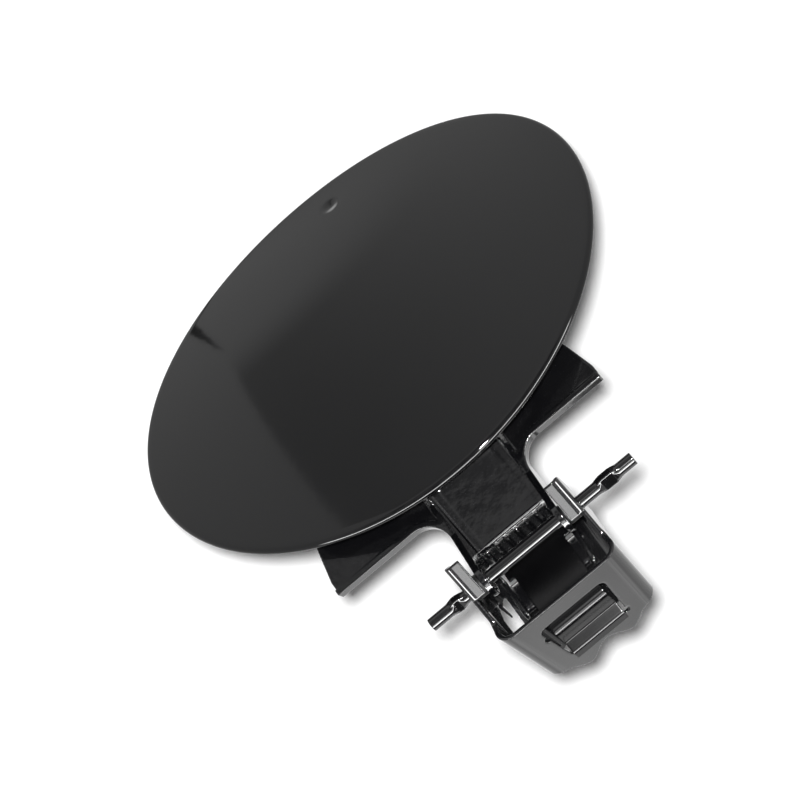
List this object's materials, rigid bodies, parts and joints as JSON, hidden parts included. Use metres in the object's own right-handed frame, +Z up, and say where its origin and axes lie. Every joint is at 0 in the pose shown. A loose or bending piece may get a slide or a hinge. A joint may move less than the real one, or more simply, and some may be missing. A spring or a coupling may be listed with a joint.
{
  "type": "car fuel door",
  "caption": "Round black fuel door on a pressed gooseneck arm, hinged by a pinched pin in a tapered box with a leaf spring.",
  "frame": {"origin": "on the axis of the hinge pin, midway between the two ears of the hinge box", "axes": "+X from the door's centre towards the hinge, +Y inward away from the painted face, +Z up along the hinge pin, door shut"},
  "size_m": [0.1957, 0.0798, 0.165],
  "materials": {
    "face_paint": "gloss",
    "black_coat": "semi-gloss",
    "spring_steel": "oiled",
    "pin_steel": "blackened",
    "bush_nylon": "matte",
    "zinc": "zinc plated",
    "buffer_rubber": "matte",
    "mastic": "matte"
  },
  "bodies": {
    "base": {"hinge_box": "black_coat", "hinge_pin": "pin_steel", "leaf_spring": "spring_steel"},
    "door": {"outer_skin": "face_paint", "inner_panel": "black_coat", "mastic_pads": "mastic", "hinge_arm": "black_coat", "bush_upper": "bush_nylon", "bush_lower": "bush_nylon", "latch_striker": "zinc", "striker_rivets": "zinc", "buffer_upper": "buffer_rubber", "buffer_lower": "buffer_rubber"}
  },
  "joints": [
    {"name": "door_hinge", "type": "hinge", "parent": "base", "child": "door", "pos_m": [0, 0, 0], "axis": [0, 0, 1], "range_deg": [0, 100]}
  ]
}
